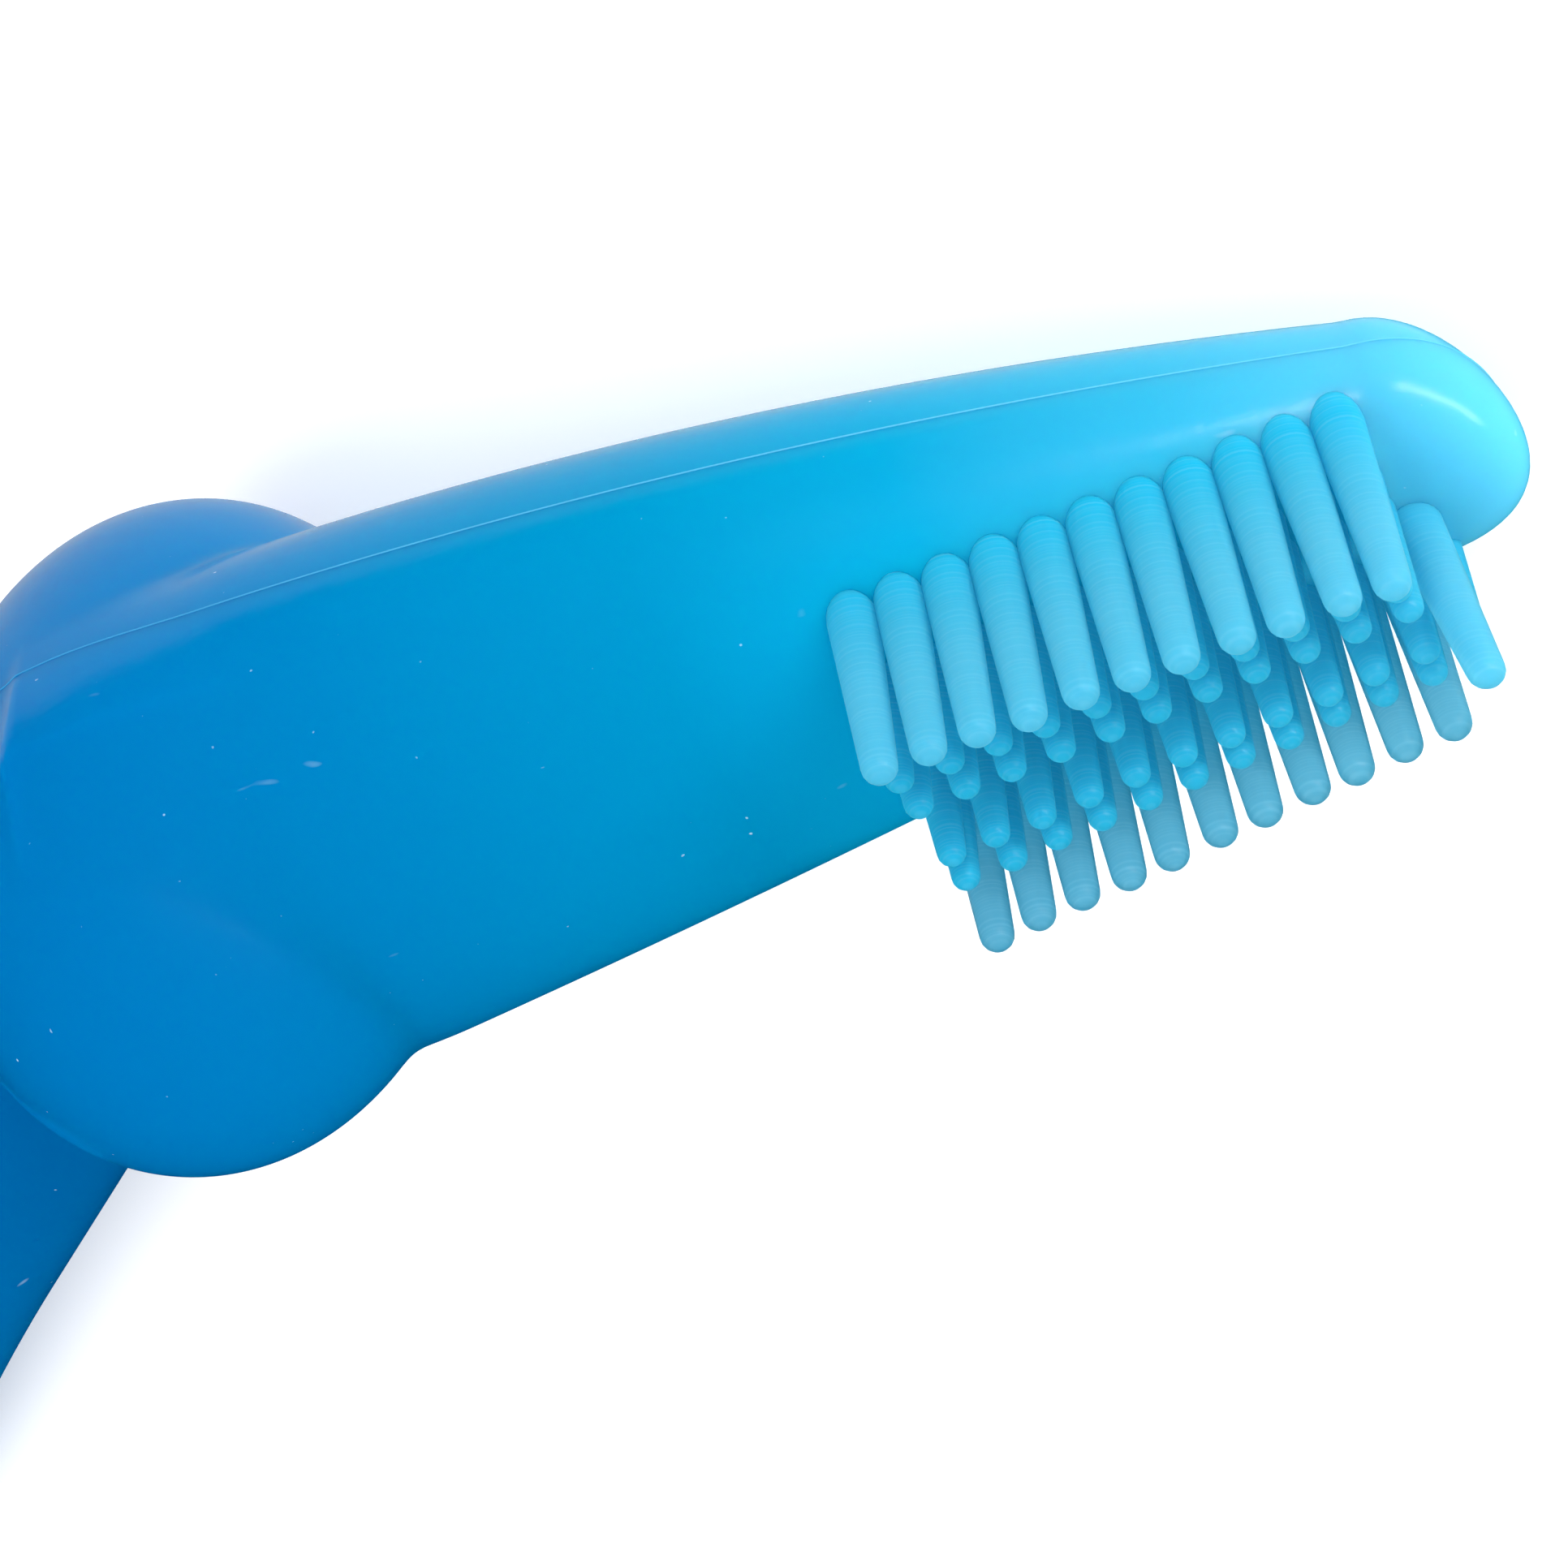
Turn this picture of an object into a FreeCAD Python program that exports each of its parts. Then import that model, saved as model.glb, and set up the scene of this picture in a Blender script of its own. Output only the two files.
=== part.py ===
import FreeCAD, Part
import math
import os

# Pet toothbrush: a soft, bristled head arm joined to a slim handle by an egg-shaped pivot hub.
# Working frame of the brush: +X along the head arm towards its tip, +Z the way the bristles point,
# +Y across the arm; the pivot axis is the Z axis. The last step lays the brush on its back, so
# that the hub, the tip and the handle's end touch the ground plane z = 0. Millimetres.

document = FreeCAD.newDocument("PetToothbrush")
sheet = document.addObject("Spreadsheet::Sheet", "Sizes")

DIMENSIONS = {
    # head arm: radius falls along its length, and its centre line rises towards the bristles
    "arm_root_radius": 14.07,
    "arm_taper": 0.0456,
    "arm_curve": 0.001167,
    "arm_widening": 1.11,
    "root_narrowing": 0.92,
    "arm_length": 73.15,
    "arm_bow": 0.000968,
    "tip_length": 6.05,
    "tip_rise": 1.86,
    # pivot hub
    "hub_radius": 15.2,
    "hub_half_height": 21.1,
    "pivot_level": -2.2,
    "drum_radius": 9.5,
    "drum_half_height": 7.0,
    "ear_radius": 9.2,
    "ear_thickness": 2.2,
    "washer_thickness": 0.9,
    "washer_radius": 6.5,
    "pin_radius": 2.5,
    "pin_head_radius": 4.0,
    "pin_head_thickness": 1.2,
    "clip_thickness": 1.0,
    "bush_radius": 4.0,
    "plug_radius": 5.5,
    "gap": 0.4,
    "running_gap": 0.05,
    # skin over the rigid cores
    "skin": 4.5,
    "core_cover": 1.5,
    "seam_level": -1.6,
    "seam_middle": -0.1,
    "seam_tip": 5.0,
    # handle
    "handle_bend": 36.0,
    "handle_travel": 36.0,
    "neck_radius": 6.5,
    "neck_length": 48.0,
    "grip_radius": 8.2,
    "grip_distance": 86.0,
    "handle_end": 118.0,
    "handle_core_radius": 3.2,
    "handle_core_end": 94.0,
    "paddle_start": 100.0,
    "paddle_thickness": 8.0,
    "hang_distance": 109.0,
    "hang_radius": 2.5,
    "eyelet_wall": 0.9,
    # bristles
    "pitch": 2.4,
    "first_column": 41.4,
    "bristle_level": 19.57,
    "level_fall": 0.9,
    "row_spread": 7.23,
    "spread_fall": 1.85,
    "middle_share": 0.58,
    "inner_share": 0.29,
    "inner_shortfall": 1.7,
    "large_root_radius": 1.2,
    "large_tip_radius": 0.88,
    "small_root_radius": 1.0,
    "small_tip_radius": 0.72,
    "end_extra": 2.3,
    "end_setback": 0.2,
    "small_end_setback": 0.1,
    "root_sink": 0.15,
    # how the brush lies on the ground
    "rest_roll": 35.83,
    "rest_pitch": 15.78,
    "rest_forward": 16.16,
    "rest_sideways": 19.97,
    "rest_lift": 20.72,
}
for line, (name, value) in enumerate(DIMENSIONS.items(), start=1):
    sheet.set(f"A{line}", name)
    sheet.set(f"B{line}", str(value))
    sheet.setAlias(f"B{line}", name)
document.recompute()

COLUMNS = 11


def size(name):
    return float(sheet.get(name))


def sized(text):
    """Writes an expression in which every dimension's name points into the sheet."""
    words = sorted(DIMENSIONS, key=len, reverse=True)
    for number, word in enumerate(words):
        text = text.replace(word, f"@{number}@")
    for number, word in enumerate(words):
        text = text.replace(f"@{number}@", f"Sizes.{word}")
    return text


def new(kind, label, **expressions):
    """Adds an object and binds its properties to expressions of the sheet's dimensions."""
    thing = document.addObject(kind, label)
    thing.Label = label
    for key, text in expressions.items():
        thing.setExpression(key.replace("__", "."), sized(text))
    return thing


def cut(label, body, tool):
    """One body with another taken out of it."""
    thing = document.addObject("Part::Cut", label)
    thing.Label = label
    thing.Base = body
    thing.Tool = tool
    return thing


def joined(kind, label, pieces):
    """Part::MultiFuse or Part::MultiCommon of a list of objects, or Part::Compound."""
    thing = document.addObject(kind, label)
    thing.Label = label
    if kind == "Part::Compound":
        thing.Links = pieces
    else:
        thing.Shapes = pieces
    return thing


def post(label, radius, low, high):
    """Round post on the pivot axis between two levels measured from the pivot's middle."""
    return new(
        "Part::Cylinder", label,
        Radius=radius,
        Height=f"({high}) - ({low})",
        Placement__Base__z=f"pivot_level + ({low})",
    )


def ring(label, outer, inner, low, high):
    """Round washer, bush or disc with a bore, on the pivot axis."""
    body = post(label + "_body", outer, low, high)
    bore = post(label + "_bore", inner, f"{low} - 1", f"{high} + 1")
    return cut(label, body, bore)


def ellipsoid(label):
    """The hub: an egg of revolution about the pivot axis, made by scaling a ball."""
    ball = Part.makeSphere(1.0)
    stretch = FreeCAD.Matrix()
    stretch.scale(size("hub_radius"), size("hub_radius"), size("hub_half_height"))
    egg = document.addObject("Part::Feature", label)
    egg.Label = label
    egg.Shape = ball.transformGeometry(stretch)
    egg.Placement = FreeCAD.Placement(FreeCAD.Vector(0, 0, size("pivot_level")), FreeCAD.Rotation())
    return egg


def ellipse_across(label, wide, high, along, level, turn):
    """Upright ellipse whose normal points along the arm or, turned about Z, along the handle."""
    outline = new("Part::Ellipse", label, MajorRadius=wide, MinorRadius=high)
    upright = FreeCAD.Rotation(FreeCAD.Vector(0, 1, 0), FreeCAD.Vector(0, 0, 1),
                               FreeCAD.Vector(1, 0, 0), "XYZ")
    heading = FreeCAD.Rotation(FreeCAD.Vector(0, 0, 1), turn)
    place = heading.multVec(FreeCAD.Vector(along, 0, 0))
    place.z = level
    outline.Placement = FreeCAD.Placement(place, heading.multiply(upright))
    return outline


def loft(label, sections):
    body = document.addObject("Part::Loft", label)
    body.Label = label
    body.Sections = sections
    body.Solid = True
    body.Ruled = False
    return body


def arm_level(along):
    """Height of the arm's centre line."""
    tip_start = size("arm_length") - size("tip_length")
    share = max(0.0, (along - tip_start) / size("tip_length"))
    return size("arm_bow") * along ** 2 + size("tip_rise") * share ** 2


def arm_body(label, inset, start, stop, rounded_tip):
    """Bowed, tapering arm of upright ellipses, its surface set inwards by inset."""
    tip_start = size("arm_length") - size("tip_length")
    sections = []
    radius_at = "(arm_root_radius - arm_taper * {x} - arm_curve * {x} * {x} - {inset})"
    steps = 6
    for number in range(steps + 1):
        along = start + (stop - start) * number / steps
        high = radius_at.format(x=along, inset=inset)
        if along == 0:
            high = f"root_narrowing * {high}"
        wide = f"arm_widening * {high}"
        sections.append(ellipse_across(f"{label}_{number}", wide, high, along, arm_level(along), 0))
    if rounded_tip:
        for angle in (25, 45, 61, 73, 82, 87):
            along = tip_start + size("tip_length") * math.sin(math.radians(angle))
            high = radius_at.format(x=tip_start, inset=inset) + f" * cos({angle} deg)"
            wide = f"arm_widening * {high}"
            name = f"{label}_tip_{angle}"
            sections.append(ellipse_across(name, wide, high, along, arm_level(along), 0))
    return loft(label, sections)


# --- shared outlines --------------------------------------------------------------------------

hub = ellipsoid("hub_outline")
TIP_START = size("arm_length") - size("tip_length")
arm = arm_body("arm_outline", 0, 0.0, TIP_START, True)
head_outline = joined("Part::MultiFuse", "head_outline", [hub, arm])

ear_low = "drum_half_height + washer_thickness + 0.1"
ear_high = f"{ear_low} + ear_thickness"
cavity = post("drum_cavity", "drum_radius + gap", f"-({ear_low})", ear_low)


def handle_fan():
    """Space that the neck sweeps between its two stops, with the gap around it."""
    pieces = []
    for name, turn in (("straight", 0.0), ("folded", size("handle_bend") + size("handle_travel"))):
        slot = new(
            "Part::Box", f"slot_{name}",
            Length="60",
            Width="2 * (neck_radius + gap)",
            Height="2 * (neck_radius + gap)",
        )
        heading = FreeCAD.Rotation(FreeCAD.Vector(0, 0, 1), 180.0 + turn)
        half = size("neck_radius") + size("gap")
        corner = heading.multVec(FreeCAD.Vector(0, -half, 0))
        corner.z = size("pivot_level") - half
        slot.Placement = FreeCAD.Placement(corner, heading)
        pieces.append(slot)
    fan = new(
        "Part::Cylinder", "slot_fan",
        Radius="60",
        Height="2 * (neck_radius + gap)",
        Angle="handle_bend + handle_travel",
        Placement__Base__z="pivot_level - neck_radius - gap",
    )
    fan.Placement.Rotation = FreeCAD.Rotation(FreeCAD.Vector(0, 0, 1), 180.0)
    pieces.append(fan)
    return joined("Part::MultiFuse", "neck_travel", pieces)


travel = handle_fan()

# --- head: rigid core with a clevis round the pivot ---------------------------------------------


def head_core():
    bar = arm_body("core_bar", size("skin"), 6.0, 60.0, False)
    upper = post("upper_ear", "ear_radius", ear_low, ear_high)
    lower = post("lower_ear", "ear_radius", f"-({ear_high})", f"-({ear_low})")
    bridges = []
    for name, low in (("upper_bridge", ear_low), ("lower_bridge", f"-({ear_high})")):
        bridge = new(
            "Part::Box", name,
            Length="ear_radius + 5",
            Width="2 * ear_radius - 4",
            Height="ear_thickness",
            Placement__Base__y="2 - ear_radius",
            Placement__Base__z=f"pivot_level + {low}",
        )
        bridges.append(bridge)
    web = new(
        "Part::Box", "clevis_web",
        Length="5",
        Width="2 * ear_radius - 4",
        Height=f"2 * ({ear_high})",
        Placement__Base__x="ear_radius",
        Placement__Base__y="2 - ear_radius",
        Placement__Base__z=f"pivot_level - ({ear_high})",
    )
    solid = joined("Part::MultiFuse", "core_solid", [bar, upper, lower, web] + bridges)
    cover = size("core_cover")
    slab = arm_body("core_limit", cover, 0, 62.0, False)
    ball = post("core_limit_hub", f"hub_radius - {cover}", "-30", "30")
    limit = joined("Part::MultiFuse", "core_limits", [slab, ball])
    trimmed = joined("Part::MultiCommon", "core_trimmed", [solid, limit])
    hollowed = cut("core_hollowed", trimmed, cavity)
    bore = post("ear_bores", "pin_radius", "-30", "30")
    return cut("head_core", hollowed, bore)


core = head_core()

# --- head: soft skin in two halves, parted along the seam ----------------------------------------


def seam_block():
    """Everything on the bristles' side of the bowed parting surface."""
    reach = 45.0
    far = 90.0
    level = size("seam_level")
    start = FreeCAD.Vector(0, -reach, level)
    middle = FreeCAD.Vector(36, -reach, size("seam_middle"))
    end = FreeCAD.Vector(74, -reach, size("seam_tip"))
    back = FreeCAD.Vector(-reach, -reach, level)
    corners = [
        FreeCAD.Vector(far, -reach, size("seam_tip") + 2.0),
        FreeCAD.Vector(far, -reach, reach),
        FreeCAD.Vector(-reach, -reach, reach),
        back,
    ]
    edges = [Part.makeLine(back, start), Part.Arc(start, middle, end).toShape()]
    last = end
    for corner in corners:
        edges.append(Part.makeLine(last, corner))
        last = corner
    block = document.addObject("Part::Feature", "seam_block")
    block.Label = "seam_block"
    block.Shape = Part.Face(Part.Wire(edges)).extrude(FreeCAD.Vector(0, 2 * reach, 0))
    return block


def head_skins():
    pockets = [
        core,
        cavity,
        travel,
        post("ear_pocket", "ear_radius", f"-({ear_high})", ear_high),
        post("clip_pocket", "pin_head_radius + 0.3", "0", f"{ear_high} + 2"),
        post("plug_pocket", "plug_radius", "-30", "0"),
    ]
    hollow = joined("Part::MultiFuse", "skin_hollow", pockets)
    skin = cut("whole_skin", head_outline, hollow)
    block = seam_block()
    upper = joined("Part::MultiCommon", "head_skin_bristle_side", [skin, block])
    lower = cut("head_skin_back", skin, block)
    return upper, lower


skin_upper, skin_lower = head_skins()

# --- pivot ------------------------------------------------------------------------------------


def pivot_parts():
    shank = post("pin_shank", "pin_radius", f"-({ear_high})", f"{ear_high} + clip_thickness + 0.5")
    head = post("pin_head", "pin_head_radius", f"-({ear_high}) - pin_head_thickness", f"-({ear_high})")
    pin = joined("Part::MultiFuse", "pivot_pin", [shank, head])
    clip = ring("pin_clip", "pin_head_radius", "pin_radius", ear_high,
                f"{ear_high} + clip_thickness")
    flat = ring("flat_washer", "washer_radius", "pin_radius", f"{ear_low} - washer_thickness", ear_low)
    spring = ring("spring_washer", "washer_radius", "pin_radius", f"-({ear_low})",
                  f"washer_thickness - ({ear_low})")
    bush = ring("pivot_bush", "bush_radius", "pin_radius + running_gap", "-drum_half_height",
                "drum_half_height")
    plug_post = post("plug_post", "plug_radius", "-30",
                     f"-({ear_high}) - pin_head_thickness")
    plug = joined("Part::MultiCommon", "pivot_plug", [hub, plug_post])
    return [pin, clip, flat, spring, bush, plug]


pivot = pivot_parts()

# --- handle -------------------------------------------------------------------------------------

HANDLE_TURN = 180.0 + size("handle_bend")


def along_handle(distance, sideways, level):
    """Point beside the handle's centre line, in the brush's frame."""
    heading = FreeCAD.Rotation(FreeCAD.Vector(0, 0, 1), HANDLE_TURN)
    place = heading.multVec(FreeCAD.Vector(distance, sideways, 0))
    place.z = size("pivot_level") + level
    return FreeCAD.Placement(place, heading)


def handle_outline():
    """Slim neck, fuller grip and rounded end: one smooth curve turned about the handle's line."""
    neck = size("neck_radius")
    grip = size("grip_radius")
    end = size("handle_end")
    neck_end = FreeCAD.Vector(size("neck_length"), neck, 0)
    fullest = FreeCAD.Vector(size("grip_distance"), grip, 0)
    shoulder = FreeCAD.Vector(end - 6.5, 0.82 * grip, 0)
    swell = Part.BSplineCurve()
    swell.interpolate(
        Points=[neck_end, fullest, shoulder],
        InitialTangent=FreeCAD.Vector(1, 0, 0),
        FinalTangent=FreeCAD.Vector(1, -0.16, 0),
    )
    round_end = Part.Arc(
        shoulder,
        FreeCAD.Vector(end - 1.8, 0.6 * grip, 0),
        FreeCAD.Vector(end, 0, 0),
    )
    start = FreeCAD.Vector(5.0, 0, 0)
    neck_start = FreeCAD.Vector(5.0, neck, 0)
    profile = document.addObject("Part::Feature", "handle_profile")
    profile.Label = "handle_profile"
    profile.Shape = Part.Face(Part.Wire([
        Part.makeLine(start, neck_start),
        Part.makeLine(neck_start, neck_end),
        swell.toShape(),
        round_end.toShape(),
        Part.makeLine(FreeCAD.Vector(end, 0, 0), start),
    ]))
    body = document.addObject("Part::Revolution", "handle_outline")
    body.Label = "handle_outline"
    body.Source = profile
    body.Axis = FreeCAD.Vector(1, 0, 0)
    body.Base = FreeCAD.Vector(0, 0, 0)
    body.Angle = 360.0
    line = along_handle(0, 0, 0)
    seam_aside = FreeCAD.Rotation(FreeCAD.Vector(1, 0, 0), 25)
    body.Placement = FreeCAD.Placement(line.Base, line.Rotation.multiply(seam_aside))
    flats = []
    for name, side in (("upper_flat", 0), ("lower_flat", 1)):
        flat = new("Part::Box", name, Length="40", Width="40", Height="20")
        level = size("paddle_thickness") / 2 if side == 0 else -size("paddle_thickness") / 2 - 20
        flat.Placement = along_handle(size("paddle_start"), -20, level)
        flats.append(flat)
    cutter = joined("Part::MultiFuse", "paddle_cutter", flats)
    return cut("paddled_handle", body, cutter)


def handle_parts():
    drum = post("drum", "drum_radius", "-drum_half_height", "drum_half_height")
    rod = new(
        "Part::Cylinder", "handle_rod",
        Radius="handle_core_radius",
        Height="handle_core_end",
    )
    place = along_handle(0, 0, 0)
    tip_over = FreeCAD.Rotation(FreeCAD.Vector(0, 1, 0), 90)
    seam_up = FreeCAD.Rotation(FreeCAD.Vector(0, 0, 1), 140)
    lying = place.Rotation.multiply(tip_over).multiply(seam_up)
    rod.Placement = FreeCAD.Placement(place.Base, lying)
    solid = joined("Part::MultiFuse", "handle_core_solid", [drum, rod])
    bore = post("drum_bore", "bush_radius", "-30", "30")
    handle_core = cut("handle_core", solid, bore)

    hole = new("Part::Cylinder", "hang_hole", Radius="hang_radius + eyelet_wall", Height="40")
    hole.Placement = along_handle(size("hang_distance"), 0, -20)
    drum_space = post("drum_space", "drum_radius", "-20", "20")
    hollow = joined("Part::MultiFuse", "handle_hollow", [rod, hole, drum_space])
    skin = cut("handle_skin", handle_outline(), hollow)
    half = new("Part::Box", "handle_half", Length="150", Width="40", Height="20")
    half.Placement = along_handle(-10, -20, 0)
    upper = joined("Part::MultiCommon", "handle_skin_bristle_side", [skin, half])
    lower = document.addObject("Part::Mirroring", "handle_skin_back")
    lower.Label = "handle_skin_back"
    lower.Source = upper
    lower.Base = FreeCAD.Vector(0, 0, size("pivot_level"))
    lower.Normal = FreeCAD.Vector(0, 0, 1)

    tube = new("Part::Cylinder", "eyelet_tube", Radius="hang_radius + eyelet_wall",
               Height="paddle_thickness")
    tube.Placement = along_handle(size("hang_distance"), 0, -size("paddle_thickness") / 2)
    tube_bore = new("Part::Cylinder", "eyelet_bore", Radius="hang_radius", Height="40")
    tube_bore.Placement = along_handle(size("hang_distance"), 0, -20)
    eyelet = cut("hang_eyelet", tube, tube_bore)
    return [handle_core, eyelet, lower, upper]


handle = handle_parts()

# --- bristles -----------------------------------------------------------------------------------


def skin_height(along, across):
    """Height of the arm's surface on the bristles' side."""
    tip_share = max(0.0, (along - TIP_START) / size("tip_length"))
    inner = min(along, TIP_START)
    radius = size("arm_root_radius") - size("arm_taper") * inner - size("arm_curve") * inner ** 2
    radius *= math.sqrt(1 - tip_share ** 2)
    sideways = across / size("arm_widening")
    return arm_level(along) + math.sqrt(radius ** 2 - sideways ** 2)


def bristle(label, along, across, top, kind):
    """Tapered peg with a round end, standing along +Z. Its foot lies a little under the skin, on a
    plane that follows the arm's surface there."""
    height = skin_height(along, across)
    foot = height - 4.0
    peg = new(
        "Part::Cone", label + "_peg",
        Radius1=f"{kind}_root_radius",
        Radius2=f"{kind}_tip_radius",
    )
    peg.Height = top - size(f"{kind}_tip_radius") - foot
    peg.Placement.Base = FreeCAD.Vector(along, across, foot)
    point = new("Part::Sphere", label + "_point", Radius=f"{kind}_tip_radius")
    point.Placement.Base = FreeCAD.Vector(along, across, top - size(f"{kind}_tip_radius"))
    whole = joined("Part::MultiFuse", label + "_whole", [peg, point])

    step = 0.05
    rise_along = (skin_height(along + step, across) - skin_height(along - step, across)) / (2 * step)
    rise_across = (skin_height(along, across + step) - skin_height(along, across - step)) / (2 * step)
    outward = FreeCAD.Vector(-rise_along, -rise_across, 1)
    facing = FreeCAD.Rotation(FreeCAD.Vector(0, 0, 1), outward)
    below = new("Part::Box", label + "_below", Length="16", Width="16", Height="12")
    centre = FreeCAD.Vector(along, across, height - size("root_sink"))
    below.Placement = FreeCAD.Placement(centre + facing.multVec(FreeCAD.Vector(-8, -8, -12)), facing)
    return cut(label, whole, below)


def column_place(column, share):
    """Place of a row in a column: the rows draw together and drop a little towards the tip."""
    progress = column / (COLUMNS - 1)
    along = size("first_column") + size("pitch") * column
    across = share * (size("row_spread") - size("spread_fall") * progress)
    level = size("bristle_level") - size("level_fall") * progress
    return along, across, level


def bristle_group(label, kind, places):
    """One node of separate bristles."""
    pegs = []
    for number, (along, across, level) in enumerate(places):
        pegs.append(bristle(f"{label}_{number}", along, across, level, kind))
    return joined("Part::Compound", label, pegs)


def bristles():
    rows = []
    middle = size("middle_share")
    inner = size("inner_share")
    layout = [
        ("outer_bristles_left", 1.0, "large"),
        ("middle_bristles_left", middle, "small"),
        ("inner_bristles_left", inner, "small"),
        ("inner_bristles_right", -inner, "small"),
        ("middle_bristles_right", -middle, "small"),
        ("outer_bristles_right", -1.0, "large"),
    ]
    for label, share, kind in layout:
        places = []
        for column in range(COLUMNS):
            along, across, level = column_place(column, share)
            if kind == "small":
                level -= size("inner_shortfall")
            places.append((along, across, level))
        rows.append(bristle_group(label, kind, places))
    along, across, level = column_place(COLUMNS - size("end_setback"), 0.0)
    rows.append(bristle_group("end_bristle", "large", [(along, across, level + size("end_extra"))]))
    along, across, level = column_place(COLUMNS - size("small_end_setback"), -middle)
    level -= size("inner_shortfall")
    rows.append(bristle_group("small_end_bristle", "small", [(along, across, level)]))
    return rows


rows = bristles()

# --- lay the brush down and write it -----------------------------------------------------------

document.recompute()
for thing in document.Objects:
    if "Invalid" in thing.State or "Error" in thing.State:
        raise RuntimeError(f"{thing.Label} did not build: {thing.State}")

rest = FreeCAD.Placement(
    FreeCAD.Vector(size("rest_forward"), size("rest_sideways"), size("rest_lift")),
    FreeCAD.Rotation(FreeCAD.Vector(0, 1, 0), size("rest_pitch")).multiply(
        FreeCAD.Rotation(FreeCAD.Vector(1, 0, 0), size("rest_roll"))),
)
os.makedirs("parts", exist_ok=True)
for node in [core, skin_upper, skin_lower] + pivot + handle + rows:
    node.Placement = rest.multiply(node.Placement)
    shape = node.Shape
    if shape.isNull() or not shape.isValid():
        raise RuntimeError(f"{node.Label} has no valid shape")
    shape.exportStep(f"parts/{node.Label}.step")
    print(f"{node.Label}: {len(shape.Solids)} solids, {shape.Volume:.1f} mm3")
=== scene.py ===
"""Visual model of a pet toothbrush in soft, translucent blue silicone, built round the CAD frame.

Shapes are worked out in the brush's own millimetre frame: +X along the head arm to its tip, +Z the
way the bristles point, and the Z axis is the pivot. lay_down() turns them into the row frame.
"""
import math
import random
from itertools import product

import bpy
import numpy as np
from mathutils import Matrix, Vector


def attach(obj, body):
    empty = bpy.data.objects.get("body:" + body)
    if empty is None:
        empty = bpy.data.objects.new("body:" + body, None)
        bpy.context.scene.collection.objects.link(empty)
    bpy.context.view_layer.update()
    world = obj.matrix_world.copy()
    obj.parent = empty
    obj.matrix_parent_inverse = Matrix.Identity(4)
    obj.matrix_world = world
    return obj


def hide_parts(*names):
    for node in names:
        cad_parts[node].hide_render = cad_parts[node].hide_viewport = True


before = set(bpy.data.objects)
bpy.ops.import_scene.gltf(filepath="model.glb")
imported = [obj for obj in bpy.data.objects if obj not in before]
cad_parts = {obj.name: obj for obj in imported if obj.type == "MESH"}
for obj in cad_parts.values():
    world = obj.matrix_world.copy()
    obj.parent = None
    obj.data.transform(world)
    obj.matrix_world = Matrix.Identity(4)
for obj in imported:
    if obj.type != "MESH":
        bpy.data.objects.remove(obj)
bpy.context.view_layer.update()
draw = random.Random(7)

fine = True
NET_STEP = 0.5 if fine else 0.9
RING_SPACING = 0.17 if fine else 0.6
BRISTLE_SEGMENTS = 24 if fine else 12

# --- the brush's sizes, in millimetres and degrees ------------------------------------------------

REST = (
    Matrix.Translation((16.16, 19.97, 20.72))
    @ Matrix.Rotation(math.radians(15.78), 4, "Y")
    @ Matrix.Rotation(math.radians(35.83), 4, "X")
)

ARM_ROOT_RADIUS = 14.07
ARM_TAPER = 0.0456
ARM_CURVE = 0.001167
ARM_WIDENING = 1.11
ARM_LENGTH = 73.15
ARM_BOW = 0.000968
TIP_LENGTH = 6.05
TIP_RISE = 1.86
TIP_START = ARM_LENGTH - TIP_LENGTH
ROOT_NARROWING = 0.08
NARROWING_LENGTH = 11.0

HUB_RADIUS = 15.2
HUB_HALF_HEIGHT = 21.1
PIVOT_LEVEL = -2.2
FILLET = 0.5
WIDE_FILLET = 5.0
FLANK_LEVEL = 4.0
FLANK_HALF = 11.0

DRUM_SPACE_RADIUS = 9.9
DRUM_SPACE_HALF = 8.0
EAR_RADIUS = 9.25
EAR_HALF = 10.25
PLUG_RADIUS = 5.5
PLUG_POCKET_TOP = -11.4
CLIP_POCKET_RADIUS = 4.35
SKIN = 4.5
CORE_COVER = 1.5
CORE_GAP = 0.05
CORE_START = 5.9
CORE_END = 60.1
WEB_REACH = 14.25
WEB_HALF_WIDTH = 7.25
FAR = 30.0

NECK_RADIUS = 6.5
SLOT_HALF = NECK_RADIUS + 0.4
SLOT_CORNER = 4.0
SLOT_EDGE = 1.6
HANDLE_BEND = 36.0
HANDLE_TRAVEL = 36.0
NECK_END = 48.0
GRIP_RADIUS = 8.2
GRIP_DISTANCE = 86.0
HANDLE_END = 118.0
ROD_RADIUS = 3.2
ROD_END = 94.0
DRUM_RADIUS = 9.5
END_START = 109.0
PADDLE_START = 90.0
PADDLE_RUN = 11.0
PADDLE_HALF = 4.0
PADDLE_DROP = 4.6
HANG_DISTANCE = 109.0
HANG_RADIUS = 2.5
EYELET_RADIUS = 3.4

SEAM_LENGTH = 74.0
SEAM_LEVEL = -1.6
SEAM_RISE = 6.6
SEAM_BOW = 2.29
SEAM_BEAD = 0.05

PITCH = 2.4
COLUMNS = 11
FIRST_COLUMN = 41.4
BRISTLE_LEVEL = 19.57
LEVEL_FALL = 0.9
ROW_SPREAD = 7.23
SPREAD_FALL = 1.85
MIDDLE_SHARE = 0.58
INNER_SHARE = 0.29
INNER_SHORTFALL = 1.7
END_EXTRA = 2.3
END_SETBACK = 0.2
SMALL_END_SETBACK = 0.1
END_SPLAY = 0.06
LARGE = (1.27, 0.87)    # radii at the root and at the tip
SMALL = (1.10, 0.72)
ROOT_DEPTH = 2.2
RIPPLE = 0.0025
LEAN = 0.011


def lay_down(points):
    """Brush-frame millimetres to row-frame metres."""
    points = np.asarray(points, float)
    turn = np.array(REST.to_3x3())
    return (points @ turn.T + np.array(REST.translation)) / 1000.0


def brush_axis(direction):
    """A brush-frame direction in the row frame."""
    return tuple(REST.to_3x3() @ Vector(direction))


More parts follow.
